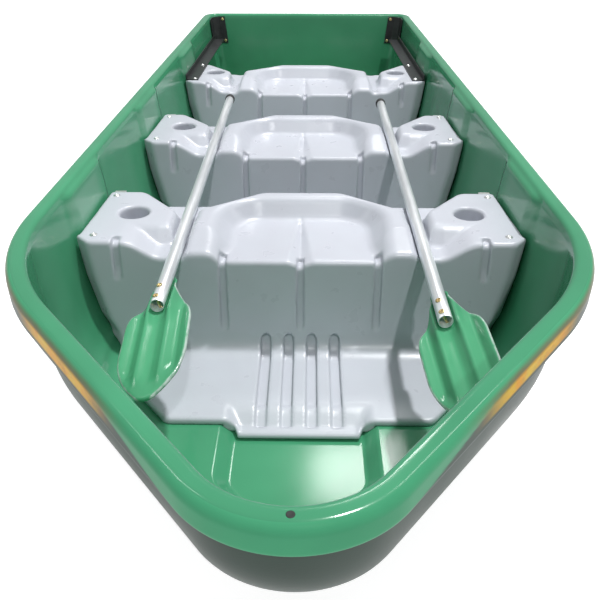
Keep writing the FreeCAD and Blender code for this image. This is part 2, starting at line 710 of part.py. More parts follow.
def blade_shape():
    """The blade: flat below the shaft, then bent down to its tip, with three flutes along its upper face."""
    half, reach, neck = size("blade_half_width"), size("blade_reach"), size("blade_neck_half")
    back, thick, drop = size("blade_lap"), size("blade_thickness"), size("blade_drop")
    top = -size("shaft_radius") - size("blade_gap")
    bottom = top - thick - drop
    neck_end = back - size("blade_neck_length")
    side_start, side_end = neck_end - size("blade_shoulder"), -size("blade_tip_gap")
    tip_half, tip_y = size("blade_tip_half"), size("blade_tip_depth") - reach
    port = [line((neck, back, bottom), (neck, neck_end, bottom)),
            tangent_arc((half, side_start, bottom), AFT, (neck, neck_end, bottom)),
            line((half, side_start, bottom), (half, side_end, bottom)),
            tangent_arc((half, side_end, bottom), AHEAD_AXIS, (tip_half, tip_y, bottom))]
    tip = [Vector(tip_half, tip_y, bottom), Vector(0, -reach, bottom), Vector(-tip_half, tip_y, bottom)]
    ends = [line((-neck, back, bottom), (neck, back, bottom)), Part.Arc(*tip).toShape()]
    plan = Part.Wire(Part.__sortEdges__([edge for p in port for edge in both(p)] + ends))
    slope = drop / reach

    def bent(y):
        return top + min(0, y) * slope
    line_above = [(-L, y, bent(y)) for y in (back, 0, -reach - PAST)]
    side = line_above + [(x, y, z - thick) for x, y, z in reversed(line_above)]
    blade = Part.Face(plan).extrude(UP * (top - bottom)).common(prism(side, (2 * L, 0, 0)))
    radius = size("flute_radius")
    lift = radius - size("flute_depth")
    for steps in (-1, 0, 1):
        start, end = -radius, size("flute_end_gap") * (1 + abs(steps)) - reach
        x, length = steps * size("flute_pitch"), math.hypot(start - end, (start - end) * slope)
        flute = rod((x, end, bent(end) + lift), (0, 1, slope), length, radius)
        blade = blade.cut(flute.fuse(Part.makeSphere(radius, Vector(x, start, bent(start) + lift))))
    return blade


def oar_pieces(side):
    """Shaft, blade, cap and screws of one oar, about its shaft's forward end."""
    label, end = f"{side}_oar", Vector(0, 0, 0)
    above = UP * 2 * size("shaft_radius")
    places = [size("blade_screw_inset") + k * size("blade_screw_pitch") for k in (0, 1)]
    hole = "Sizes.screw_radius + Sizes.screw_clearance"
    holes = [cylinder(f"{label}_hole", AFT * y + above, -UP, hole, "4 * Sizes.shaft_radius") for y in places]
    inside, length = "Sizes.shaft_radius - Sizes.shaft_wall", "Sizes.shaft_length"
    tube = cylinder(f"{label}_tube", end, AFT, "Sizes.shaft_radius", length)
    bore = cylinder(f"{label}_bore", end, AFT, inside, length)
    shaft = pierced(f"oar_shaft_{side}", tube, [bore, *holes])
    blade = pierced(f"oar_blade_{side}", feature(f"{label}_plain_blade", blade_shape()), holes)
    cap_y = AFT * (size("shaft_length") + size("cap_end") - size("cap_length"))
    cover = cylinder(f"{label}_cover", cap_y, AFT, "Sizes.cap_radius", "Sizes.cap_length")
    socket = cylinder(f"{label}_socket", cap_y, AFT, "Sizes.shaft_radius + Sizes.cap_gap",
                      "Sizes.cap_length - Sizes.cap_end")
    cap = pierced(f"oar_cap_{side}", cover, [socket])
    head, length = UP * (size("shaft_radius") + size("screw_clearance")), "Sizes.blade_screw_length"
    screws = [part for y in places for part in screw(f"{label}_screw", AFT * y + head, length)]
    return [shaft, blade, cap, joined(f"oar_screws_{side}", screws)]


def place_oar(side, sign, item):
    """Lays a piece of an oar in the troughs, turned about the shaft."""
    item.Placement = Placement(Vector(0, 0, 0), Rotation(AHEAD_AXIS, size(f"{side}_oar_roll")))
    item.setExpression("Placement.Base.x", f"{sign} * Sizes.trough_x")
    item.setExpression("Placement.Base.y", f"Sizes.{side}_oar_from_bow - Sizes.overall_length / 2")
    item.setExpression("Placement.Base.z", "Sizes.trough_bottom + Sizes.shaft_lift + Sizes.shaft_radius")


# ---------------------------------------------------------------- the boat


bolt_hole = size("bolt_radius") + size("screw_clearance")
bolt_holes = [Part.makeCylinder(bolt_hole, 4 * WALL, place - AFT * 2 * WALL, AFT) for place in bolt_places()]
PIECES.append(feature("hull", hull_shape([hole for h in bolt_holes for hole in both(h)])))

for name, kind in SEATS.items():
    front_y = front_edge(name)
    PIECES.append(feature(f"{name}_seat", seat_shape(front_y)))
    if kind == "rails":
        strip, head_z = rail(name), TOP + size("screw_clearance")
        thickness = "Sizes.rail_thickness"
    else:
        strip, head_z = iron(name), TOP + size("iron_gap") + size("iron_thickness") + size("screw_clearance")
        thickness = "Sizes.iron_thickness"
    length = f"Sizes.screw_clearance + Sizes.skin + Sizes.iron_gap + {thickness} + Sizes.screw_tail"
    holes, screws = [], []
    for k, (x, y) in enumerate(screw_places(front_y)):
        holes.append(cylinder(f"{name}_{kind}_hole_{k}", Vector(x, y, head_z), -UP,
                              "Sizes.screw_radius + Sizes.screw_clearance", length))
        screws += screw(f"{name}_screw_{k}", Vector(x, y, head_z), length)
    add_pair(f"{name}_{kind[:-1]}", pierced(f"{name}_{kind[:-1]}", strip, holes))
    add_pair(f"{name}_screws", joined(f"{name}_screws", screws))

add_pair("stern_bracket", feature("stern_bracket", bracket_shape().cut(bolt_holes)))
bolts = [part for k, place in enumerate(bolt_places()) for part in bolt(f"stern_bolt_{k}", place)]
add_pair("stern_bolts", joined("stern_bolts", bolts))

for side, sign in (("starboard", -1), ("port", 1)):
    for item in oar_pieces(side):
        place_oar(side, sign, item)
        PIECES.append(item)


# ---------------------------------------------------------------- check and write


doc.recompute()
for item in doc.Objects:
    assert not {"Invalid", "Error"} & set(item.State), f"{item.Label} failed"
for piece in PIECES:
    assert not piece.Shape.isNull() and piece.Shape.isValid(), f"{piece.Label} has no valid shape"

os.makedirs("parts", exist_ok=True)
for piece in PIECES:
    piece.Shape.exportStep(os.path.join("parts", f"{piece.Label}.step"))
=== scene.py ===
import json
import math

import bmesh
import bpy
import numpy as np
from mathutils import Matrix, Vector


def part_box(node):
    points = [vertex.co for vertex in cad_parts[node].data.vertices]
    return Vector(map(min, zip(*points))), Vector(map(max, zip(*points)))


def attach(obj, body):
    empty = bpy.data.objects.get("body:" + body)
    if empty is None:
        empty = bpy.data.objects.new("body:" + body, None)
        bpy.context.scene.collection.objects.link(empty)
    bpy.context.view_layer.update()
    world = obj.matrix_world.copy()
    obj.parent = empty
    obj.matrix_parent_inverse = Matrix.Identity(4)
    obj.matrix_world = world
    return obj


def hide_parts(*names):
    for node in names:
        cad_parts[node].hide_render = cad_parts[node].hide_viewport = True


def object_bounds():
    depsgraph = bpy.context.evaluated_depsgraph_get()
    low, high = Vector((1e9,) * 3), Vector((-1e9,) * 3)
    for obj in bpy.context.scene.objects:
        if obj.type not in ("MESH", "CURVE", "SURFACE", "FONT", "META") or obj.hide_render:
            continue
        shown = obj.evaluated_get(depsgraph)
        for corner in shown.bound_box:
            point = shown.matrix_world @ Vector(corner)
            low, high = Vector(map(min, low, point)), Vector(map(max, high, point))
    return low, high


# Rowing boat of moulded plastic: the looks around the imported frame, in metres and in the frame's own axes.
# +Z up, bow towards -Y, port towards +X.

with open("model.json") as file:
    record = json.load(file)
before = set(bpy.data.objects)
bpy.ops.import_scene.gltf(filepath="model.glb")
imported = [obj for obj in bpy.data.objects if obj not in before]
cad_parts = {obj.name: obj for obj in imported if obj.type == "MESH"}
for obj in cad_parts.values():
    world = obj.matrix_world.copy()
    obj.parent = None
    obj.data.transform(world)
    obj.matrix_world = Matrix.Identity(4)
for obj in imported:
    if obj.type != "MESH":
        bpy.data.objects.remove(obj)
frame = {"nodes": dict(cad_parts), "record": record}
cad_low, cad_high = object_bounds()
nodes = frame["nodes"]
mounts = {m["name"]: m["pos_m"] for m in frame["record"]["mounts"]}


# ---------------------------------------------------------------- sizes

BOW_Y, STERN_Y, RIM_TOP = cad_low[1], cad_high[1], cad_high[2]
HALF_BEAM = 0.590
RIM_WIDTH, RIM_HEIGHT, WALL = 0.040, 0.050, 0.006
RIM_ROUND, INNER_ROUND = 0.017, 0.012 # radii of the rim's upper edges, outside and inside
LIP_WALL, LIP_ROUND = 0.0085, 0.004   # the rim's hanging side: its thickness, and the rounding below it
WALL_LINE = 0.034                     # the outer face of the wall, in from the rim's outline
BOW_R, SHOULDER_R, CORNER_R = 0.192, 0.580, 0.075
PHI, TAPER = math.radians(39.5), math.radians(1.5)    # how far the bow's flanks and the sides turn in
KEEL_DROP = 0.024
FLOOR_Z = KEEL_DROP + 0.008           # the floor's upper face
SIDE_HEIGHT = RIM_TOP - KEEL_DROP
# The pads on the hull beside each seat: how proud, from where behind the seat's front edge, and their ramps.
PAD_DEPTH, PAD_START, PAD_RAMP = 0.010, 0.045, 0.020
PAD_FOOT, PAD_FOOT_RAMP, PAD_TOP_RAMP = 0.130, 0.060, 0.012

# Height as a share of the side's, then how far in from the wall's line the side, the bow and the stern stand,
# and the bow's radius.
HULL_LEVELS = np.array([
    (0.000, 0.146, 0.248, 0.116, 0.165),
    (0.028, 0.108, 0.210, 0.076, 0.165),
    (0.104, 0.078, 0.168, 0.050, 0.170),
    (0.242, 0.050, 0.112, 0.032, 0.180),
    (0.495, 0.026, 0.040, 0.020, 0.185),
    (0.747, 0.012, 0.010, 0.010, 0.170),
    (1.000, 0.000, 0.000, 0.000, 0.158),
])

# Keel, and the channel above it: half width, ends behind the bow and ahead of the stern, and corner radii.
KEEL_HALF, KEEL_FROM_BOW, KEEL_FROM_STERN = 0.176, 0.300, 0.160
KEEL_NOSE_R, KEEL_SHOULDER_R, KEEL_CORNER_R = 0.105, 0.080, 0.045
# How far in from the keel's outline, and the height, from the middle outwards.
KEEL_SECTION = [(0.060, 0.0), (0.036, 0.0), (0.031, 0.0008), (0.028, 0.004), (0.008, 0.0195), (0.004, 0.0232),
                (0.0, 0.024)]
# The same for the channel inside, from its edge to its floor.
CHANNEL_SECTION = [(0.002, 0.032), (0.005, 0.0317), (0.008, 0.0303), (0.011, 0.0282), (0.030, 0.0118),
                   (0.033, 0.0095), (0.036, 0.0083), (0.040, 0.008), (0.046, 0.008), (0.070, 0.008)]

# Seats: heights of the top and of the floor pan ahead, and how far front and back stand out at the foot.
TOP, PAN = 0.332, 0.048
SEAT_DEPTH, FRONT_DRAFT, BACK_DRAFT = 0.300, 0.028, 0.015
TROUGH_X, TROUGH_Z = 0.290, 0.290     # the bottom of the trough that an oar lies in
POD_EDGE = 0.089                      # from a cup's centre to its pod's outer edge
CUP_BACK, CUP_R, CUP_DEPTH = 0.165, 0.036, 0.065     # a cup hole, behind the seat's front edge
# Name, front edge and cup centre of each seat.
SEATS = [(name, mounts[f"{name}_cup_port"][1] - CUP_BACK, mounts[f"{name}_cup_port"][0])
         for name in ("front", "middle", "rear")]
# Side, its sign in X, the forward end of its shaft, and its roll.
OARS = [("starboard", -1, BOW_Y + 0.669, math.radians(15)), ("port", 1, BOW_Y + 0.618, math.radians(28))]
SHAFT_R, SHAFT_WALL, SHAFT_LENGTH, SHAFT_Z = 0.015, 0.0016, 1.512, TROUGH_Z + 0.0153


# ---------------------------------------------------------------- small helpers


def smoothstep(t):
    """0 below 0, 1 above 1, and an even curve between."""
    t = np.clip(t, 0.0, 1.0)
    return t * t * (3.0 - 2.0 * t)


def smooth_max(a, b, r):
    """The larger of two fields, rounded over by r where they meet."""
    h = np.maximum(r - np.abs(a - b), 0.0) / r
    return np.maximum(a, b) + h * h * r * 0.25


def smooth_min(a, b, r):
    return -smooth_max(-a, -b, r)


def new_object(name, verts, faces, smooth=True):
    """A mesh object in the scene, smooth or flat shaded."""
    mesh = bpy.data.meshes.new(name)
    mesh.from_pydata([tuple(v) for v in verts], [], [tuple(int(i) for i in f) for f in faces])
    mesh.update()
    obj = bpy.data.objects.new(name, mesh)
    bpy.context.scene.collection.objects.link(obj)
    if smooth:
        mesh.polygons.foreach_set("use_smooth", [True] * len(mesh.polygons))
    return obj


def outward(obj):
    """Turns an object's faces outwards."""
    bm = bmesh.new()
    bm.from_mesh(obj.data)
    bmesh.ops.recalc_face_normals(bm, faces=bm.faces)
    bm.to_mesh(obj.data)
    bm.free()


def paint(obj, name, values):
    """Keeps a value for each vertex, which the materials read by name."""
    obj.data.attributes.new(name, "FLOAT", "POINT").data.foreach_set("value", values)


def dress(obj, body, material, replaced=None):
    """Gives a piece its body, its finish and the node that it stands for."""
    obj.data.materials.append(material)
    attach(obj, body)
    if replaced:
        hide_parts(replaced)
    return obj


def lathe(profile, turns=32):
    """Vertices and faces of a closed solid of revolution about Z, from (radius, height) pairs."""
    verts, faces = [], []
    for r, z in profile:
        for k in range(turns):
            a = 2 * math.pi * k / turns
            verts.append((r * math.cos(a), r * math.sin(a), z))
    for i in range(len(profile) - 1):
        for k in range(turns):
            n = (k + 1) % turns
            faces.append((i * turns + k, i * turns + n, (i + 1) * turns + n, (i + 1) * turns + k))
    faces.append(tuple(range(turns))[::-1])
    faces.append(tuple(range((len(profile) - 1) * turns, len(profile) * turns)))
    return verts, faces


def merged(name, parts):
    """One object from several (vertices, faces, matrix) parts."""
    verts, faces = [], []
    for v, f, matrix in parts:
        base = len(verts)
        verts += [matrix @ Vector(p) for p in v]
        faces += [tuple(base + i for i in face) for face in f]
    return new_object(name, verts, faces)


def surface_of(field, low, high, step):
    """Vertices and quads of the surface where a field is zero, inside a box, on a grid of cubes."""
    axes = [np.arange(lo, hi + step, step) for lo, hi in zip(low, high)]
    grid = np.meshgrid(*axes, indexing="ij")
    value = field(*grid)
    inside = value < 0
    shape = np.array(value.shape) - 1
    total, count = np.zeros((int(np.prod(shape)), 3)), np.zeros(int(np.prod(shape)))
    stride = np.array([shape[1] * shape[2], shape[2], 1])
    quads = []
    for axis in range(3):
        a = [slice(None)] * 3
        b = [slice(None)] * 3
        a[axis], b[axis] = slice(0, -1), slice(1, None)
        changed = np.argwhere(inside[tuple(a)] != inside[tuple(b)])
        others = [k for k in range(3) if k != axis]
        keep = np.all((changed[:, others] > 0) & (changed[:, others] < shape[others]), axis=1)
        changed = changed[keep]
        nxt = changed.copy()
        nxt[:, axis] += 1
        f0, f1 = value[tuple(changed.T)], value[tuple(nxt.T)]
        point = changed.astype(float)
        point[:, axis] += f0 / (f0 - f1)
        point = np.array(low) + point * step
        cells = []
        for du, dv in ((-1, -1), (0, -1), (0, 0), (-1, 0)):
            cell = changed.copy()
            cell[:, others[0]] += du
            cell[:, others[1]] += dv
            index = cell @ stride
            cells.append(index)
            np.add.at(total, index, point)
            np.add.at(count, index, 1)
        quad = np.stack(cells, axis=1)
        flip = inside[tuple(changed.T)] != (axis == 1)
        quad[~flip] = quad[~flip][:, ::-1]
        quads.append(quad)
    quads = np.concatenate(quads)
    used, inverse = np.unique(quads, return_inverse=True)
    verts = total[used] / count[used][:, None]
    return verts, inverse.reshape(quads.shape)


def settle(field, verts):
    """Moves vertices onto the field's zero surface, in three short steps along its slope."""
    e, reach = 2e-4, 0.003
    for _ in range(3):
        x, y, z = verts.T
        f = field(x, y, z)
        g = np.stack([(field(x + e, y, z) - field(x - e, y, z)) / (2 * e),
                      (field(x, y + e, z) - field(x, y - e, z)) / (2 * e),
                      (field(x, y, z + e) - field(x, y, z - e)) / (2 * e)], axis=1)
        step = (f / np.maximum((g * g).sum(1), 0.25))[:, None] * g
        length = np.linalg.norm(step, axis=1, keepdims=True)
        verts = verts - step * np.minimum(1.0, reach / np.maximum(length, 1e-9))
    return verts


# ---------------------------------------------------------------- hull


def outline(half_beam, bow_y, bow_r, shoulder_r, stern_y, corner_r, taper=TAPER):
    """Plan outline from the stern's middle round the port side and back, always with as many points."""
    nose_y = bow_y + bow_r
    flank_start = np.array([bow_r * math.cos(PHI), nose_y - bow_r * math.sin(PHI)])
    shoulder_x = half_beam - shoulder_r
    run = (shoulder_x + shoulder_r * math.cos(PHI) - flank_start[0]) / math.sin(PHI)
    flank_end = flank_start + np.array([math.sin(PHI), math.cos(PHI)]) * run
    shoulder = np.array([shoulder_x, flank_end[1] + shoulder_r * math.sin(PHI)])
    side_start = shoulder + shoulder_r * np.array([math.cos(taper), math.sin(taper)])
    corner_y = stern_y - corner_r
    corner_x = side_start[0] - (corner_y - side_start[1]) * math.tan(taper) - corner_r / math.cos(taper)

    def arc(centre, r, start, end, n):
        a = np.linspace(start, end, n, endpoint=False)
        return np.stack([centre[0] + r * np.cos(a), centre[1] - r * np.sin(a)], axis=1)

    def line(p, q, n):
        t = np.linspace(0, 1, n, endpoint=False)[:, None]
        return np.array(p) * (1 - t) + np.array(q) * t
    side_end = (corner_x + corner_r * math.cos(taper), corner_y + corner_r * math.sin(taper))
    parts = [
        line((0, stern_y), (corner_x, stern_y), 14),
        arc((corner_x, corner_y), corner_r, -math.pi / 2, -taper, 12),
        line(side_end, side_start, 120),
        arc(shoulder, shoulder_r, -taper, PHI, 36),
        line(flank_end, flank_start, 22),
        arc((0, nose_y), bow_r, PHI, math.pi / 2, 24),
        np.array([[0.0, bow_y]]),
    ]
    half = np.concatenate(parts)
    other = half[-2:0:-1] * np.array([-1, 1])
    return np.concatenate([half, other])


def rim_ring(inset):
    """The rim's outline, moved in."""
    return outline(HALF_BEAM - inset, BOW_Y + inset, BOW_R - inset, SHOULDER_R - inset, STERN_Y - inset,
                   CORNER_R - inset)


def level_at(share):
    """Side, bow, stern and bow radius at a share of the side's height, on smooth curves through the table."""
    s = HULL_LEVELS[:, 0]
    out = []
    for k in range(1, 5):
        v = HULL_LEVELS[:, k]
        m = np.gradient(v, s)
        i = int(np.clip(np.searchsorted(s, share) - 1, 0, len(s) - 2))
        d = s[i + 1] - s[i]
        t = (share - s[i]) / d
        h = (2 * t**3 - 3 * t**2 + 1, t**3 - 2 * t**2 + t, -2 * t**3 + 3 * t**2, t**3 - t**2)
        out.append(h[0] * v[i] + h[1] * d * m[i] + h[2] * v[i + 1] + h[3] * d * m[i + 1])
    return out


def wall_ring(share, inset):
    """The wall's outer outline at a share of the side's height, moved in."""
    side, bow, stern, bow_r = level_at(share)
    return outline(HALF_BEAM - WALL_LINE - side - inset, BOW_Y + WALL_LINE + bow + inset, bow_r - inset,
                   SHOULDER_R - WALL_LINE - side - inset, STERN_Y - WALL_LINE - stern - inset,
                   CORNER_R - WALL_LINE - inset)


def keel_ring(inset):
    """The keel's outline, moved in, below the hull or in the channel inside it."""
    return outline(KEEL_HALF - inset, BOW_Y + KEEL_FROM_BOW + inset, KEEL_NOSE_R - inset,
                   KEEL_SHOULDER_R - inset, STERN_Y - KEEL_FROM_STERN - inset,
                   KEEL_CORNER_R - min(inset, 0.04), taper=0.0)


def pad_push(xy, z):
    """How far the inner wall stands out at the pads beside the seats."""
    push = np.zeros(len(xy))
    for _, front_y, _ in SEATS:
        y = xy[:, 1] - front_y
        push += smoothstep((y - PAD_START) / PAD_RAMP) * smoothstep((SEAT_DEPTH + 0.010 - y) / PAD_RAMP)
    high = smoothstep((RIM_TOP - 0.006 - z) / PAD_TOP_RAMP)
    low = smoothstep((z - (TOP - PAD_FOOT)) / PAD_FOOT_RAMP)
    side = smoothstep((np.abs(xy[:, 0]) - 0.40) / 0.03)     # not on the transom or the floor
    return push * side * (high * low)


def build_hull(outside, inside):
    """The moulding as one skin of rings: up the outside, over the rim, and down into the channel."""
    rings = []

    def add(xy, z):
        rings.append(np.column_stack([xy, np.full(len(xy), z)]))

    def add_inner(xy, z):
        shift = pad_push(xy, z) * PAD_DEPTH
        add(np.column_stack([xy[:, 0] - np.sign(xy[:, 0]) * shift, xy[:, 1]]), z)

    # outside, from the keel's bottom up to the rim
    for inset, z in KEEL_SECTION:
        add(keel_ring(inset), z)
    # rings stand closer where the wall turns into the bottom
    for stretch in (np.linspace(0, 0.03, 5), np.linspace(0.045, 0.25, 10), np.linspace(0.3, 0.86, 14)):
        for share in stretch:
            add(wall_ring(share, 0), KEEL_DROP + share * SIDE_HEIGHT)
    # under the lip, round it, over the top
    low = RIM_TOP - RIM_HEIGHT
    add(wall_ring(1.0, 0.0), RIM_TOP - 0.020)
    add(rim_ring(0.030), RIM_TOP - 0.010)
    add(rim_ring(0.010), RIM_TOP - 0.010)
    add(rim_ring(LIP_WALL), RIM_TOP - 0.014)
    add(rim_ring(LIP_WALL), low + LIP_ROUND)
    for a in np.linspace(0, math.pi, 7):
        add(rim_ring(LIP_WALL - LIP_ROUND + LIP_ROUND * math.cos(a)), low + 0.003 - 0.003 * math.sin(a))
    for z in np.linspace(low + 0.006, RIM_TOP - 0.020, 9):
        add(rim_ring(0.0), z)
    for a in np.linspace(0, math.pi / 2, 9):
        add(rim_ring(RIM_ROUND - RIM_ROUND * math.cos(a)), RIM_TOP - RIM_ROUND + RIM_ROUND * math.sin(a))
    outer_rings = len(rings) - 3
    add(rim_ring(0.024), RIM_TOP)
    for a in np.linspace(0, math.pi / 2, 7):
        inset = RIM_WIDTH - INNER_ROUND + INNER_ROUND * math.sin(a)
        add_inner(rim_ring(inset), RIM_TOP - INNER_ROUND + INNER_ROUND * math.cos(a))
    # inside, from below the rim down to the floor
    for stretch in (np.linspace(0.96, 0.52, 30), np.linspace(0.49, 0.25, 8), np.linspace(0.23, 0.045, 11),
                    np.linspace(0.03, 0.0, 5)):
        for share in stretch:
            add_inner(wall_ring(share, WALL), FLOOR_Z + share * (RIM_TOP - FLOOR_Z))
    # across the flat floor, from the wall's foot to the channel's edge
    foot, edge = wall_ring(0.0, WALL), keel_ring(CHANNEL_SECTION[0][0])
    for share in (0.05, 0.5, 0.94):
        add(foot * (1 - share) + edge * share, FLOOR_Z)
    for inset, z in CHANNEL_SECTION:
        add(keel_ring(inset), z)
    count = len(rings[0])
    faces = []
    for r in range(len(rings) - 1):
        base, nxt = r * count, (r + 1) * count
        for i in range(count):
            j = (i + 1) % count
            faces.append((base + i, base + j, nxt + j, nxt + i))
    # strips across, between mirrored points, close the keel's bottom and the channel's floor
    for ring in (0, len(rings) - 1):
        for i in range(count // 2):
            corners = [ring * count + k % count for k in (i, i + 1, count - i - 1, count - i)]
            corners = list(dict.fromkeys(corners))
            if len(corners) >= 3:
                faces.append(tuple(corners))
    obj = new_object("hull_skin", np.concatenate(rings), faces)
    index = np.zeros(len(faces), dtype=int)
    index[:outer_rings * count] = 1
    index[(len(rings) - 1) * count:(len(rings) - 1) * count + count // 2] = 1
    obj.data.materials.append(inside)
    obj.data.materials.append(outside)
    obj.data.polygons.foreach_set("material_index", index)
    outward(obj)
    return obj


# ---------------------------------------------------------------- seat mouldings
# In this section x is the distance from the boat's middle, y the distance behind the seat's front edge.

# The sitter's place: its depth, half width, widening at the front, back edge, corners, and its slopes' runs.
RECESS_DEPTH, RECESS_HALF, RECESS_FLARE, RECESS_BACK, RECESS_R = 0.048, 0.170, 0.020, 0.226, 0.072
RECESS_SIDE_RUN, RECESS_BACK_RUN = 0.044, 0.034
GUTTER_DEPTH, GUTTER_HALF, GUTTER_FLARE = 0.0105, 0.003, 0.026
TROUGH_R, TROUGH_SPLAY = 0.022, 0.007
# The slopes down to a trough lie aft of FAN_FRONT. They open out towards the back, at these rates, and start
# FAN_EDGE from the trough's middle.
FAN_FRONT, FAN_TURN, FAN_BACK = 0.125, 0.175, 0.284
FAN_IN_RATE, FAN_OUT_RATE, FAN_EDGE = 1.39, 0.84, 0.014
# The scoop at a pod's front: where its outer and back slopes start, how flat they are, and the second's skew.
SCOOP_X, SCOOP_BACK, SCOOP_OUT_LEAN, SCOOP_BACK_LEAN, SCOOP_SKEW = 0.334, 0.050, 1.70, 1.05, 0.25
POD_DEPTH, POD_FRONT = 0.036, 0.040   # the part of a pod with an outline of its own: how deep, from where
LIP_DROP, LIP_RUN = 0.028, 0.085      # how far the top falls to the front edge between the pods
CORNER_CUT, CORNER_SOFT = 0.036, 0.008
GROOVE_HALF, GROOVE_DEPTH, GROOVE_BACK = 0.0088, 0.0100, 0.030
# The floor pan: its reach ahead of the seat's foot, its corners, and the tongue that steps into the channel.
PAN_REACH, PAN_CORNER_X = 0.258, 0.292
TONGUE_HALF, TONGUE_SPLAY, TONGUE_REACH, TONGUE_DROP, TONGUE_RUN = 0.132, 0.024, 0.023, 0.022, 0.044
PAN_BLEND = 0.060                     # rounding between the pan and the seat's front
SLOTS, SLOT_HALF, SLOT_TOP = (0.028, 0.084), 0.0125, 0.046
SEAT_STEP = 0.0047


def inner_half_width(y, z):
    """Half width inside the hull beside the seats."""
    share = np.clip((z - FLOOR_Z) / (RIM_TOP - FLOOR_Z), 0, 1)
    side = np.interp(share, HULL_LEVELS[:, 0], HULL_LEVELS[:, 1])
    inset = WALL_LINE + WALL + side
    start = (HALF_BEAM - SHOULDER_R + SHOULDER_R * math.cos(PHI) - BOW_R * math.cos(PHI)) / math.sin(PHI)
    shoulder_y = BOW_Y + BOW_R - BOW_R * math.sin(PHI) + start * math.cos(PHI) + SHOULDER_R * math.sin(PHI)
    x = HALF_BEAM - inset - (SHOULDER_R - inset) + (SHOULDER_R - inset) / math.cos(TAPER)
    return x - (y - shoulder_y) * math.tan(TAPER)


def recess(x, y, z):
    """The sitter's place, negative inside: a floor with sloping sides, open at the front, and a V gutter."""
    low = TOP - RECESS_DEPTH
    half = RECESS_HALF + RECESS_FLARE * smoothstep((0.075 - y) / 0.085)
    back, r = RECESS_BACK, RECESS_R
    dx, dy = x - (half - r), y - (back - r)
    d = np.hypot(np.maximum(dx, 0), np.maximum(dy, 0)) + np.minimum(np.maximum(dx, dy), 0) - r
    behind = np.clip((y - back + r) / r, 0, 1)
    run = RECESS_SIDE_RUN * (1 - behind) + RECESS_BACK_RUN * behind
    slope = (d - (z - low) * run / RECESS_DEPTH) / np.hypot(1, run / RECESS_DEPTH)
    wide = GUTTER_HALF + GUTTER_FLARE * np.clip(1 - y / 0.240, 0, 1.4)
    floor = low - GUTTER_DEPTH * np.clip(1 - x / wide, 0, 1) * np.clip((0.245 - y) / 0.10, 0, 1)
    return smooth_max(floor - z, slope, 0.011)


def trough(x, y, z):
    """The channel for an oar's shaft, negative inside, and slopes down to it that open out at the back."""
    dx, centre = x - TROUGH_X, TROUGH_Z + TROUGH_R
    splay = TROUGH_SPLAY * np.clip((z - centre) / (TOP - centre), 0, 1.3)
    channel = np.where(z < centre, np.hypot(dx, z - centre), np.abs(dx) - splay) - TROUGH_R
    deep = TOP - TROUGH_Z
    # where the inner and the outer slope end, and how far each runs
    inner = np.clip(0.122 + FAN_IN_RATE * (FAN_BACK - y), 0.090, 0.258)
    outer = np.clip(0.316 + FAN_OUT_RATE * (y - FAN_TURN), 0.314, 0.430)
    run_in = np.minimum(TROUGH_X - FAN_EDGE - inner, 0.055)
    run_out = np.minimum(outer - TROUGH_X - FAN_EDGE, 0.030)
    fall_in, fall_out = (x - inner) / run_in, (outer - x) / run_out
    fall = np.minimum(fall_in, fall_out)
    run = np.where(fall_in < fall_out, run_in, run_out)
    surface = TOP - deep * np.clip(fall, -1, 1)
    fan = (surface - z) / np.sqrt(1 + (deep / run)**2)
    return smooth_min(channel, smooth_max(fan, FAN_FRONT - y, 0.020), 0.010)


def scoop(x, y, z):
    """The sunken front corner of a pod, negative inside: a low floor, a slope outwards and one behind."""
    up, skew = z - TROUGH_Z, SCOOP_SKEW * np.clip(0.345 - x, 0, 0.06)
    side = (x - SCOOP_X - up * SCOOP_OUT_LEAN) / math.hypot(1, SCOOP_OUT_LEAN)
    back = (y - SCOOP_BACK - up * SCOOP_BACK_LEAN - skew) / math.hypot(1, SCOOP_BACK_LEAN)
    c = smooth_max(smooth_max(side, back, 0.006), TROUGH_Z + 0.002 - z, 0.008)
    return smooth_max(c, TROUGH_X - 0.010 - x, 0.008)


def pod_edge(y, cup_x):
    """Half width of a seat's top at a pod, at a place behind the seat's front edge."""
    return cup_x + POD_EDGE + 0.017 * np.clip(1 - y / 0.29, 0, 1)


